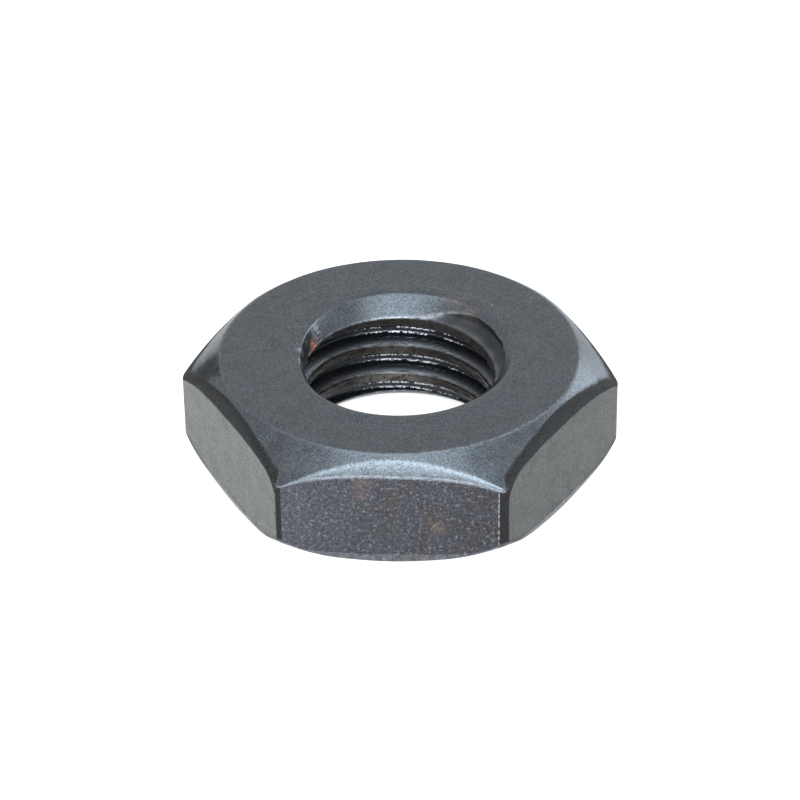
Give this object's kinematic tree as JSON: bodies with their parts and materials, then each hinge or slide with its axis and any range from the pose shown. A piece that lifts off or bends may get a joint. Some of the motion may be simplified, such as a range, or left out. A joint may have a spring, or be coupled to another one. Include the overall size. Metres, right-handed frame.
{
  "type": "hex nut",
  "caption": "Thin hexagonal nut in blackened steel, chamfered on both faces, with a countersunk right-hand threaded bore.",
  "frame": {"origin": "centre of the lower bearing face, on the thread axis", "axes": "+Z along the thread axis towards the upper bearing face, two corners of the hexagon on the X axis, two flats facing +Y and -Y"},
  "size_m": [0.0194, 0.017, 0.0055],
  "materials": {
    "black_oxide_steel": "black oxide, oiled, slightly mottled and worn on the edges"
  },
  "bodies": {
    "root": {"hex_nut": "black_oxide_steel"}
  },
  "joints": []
}
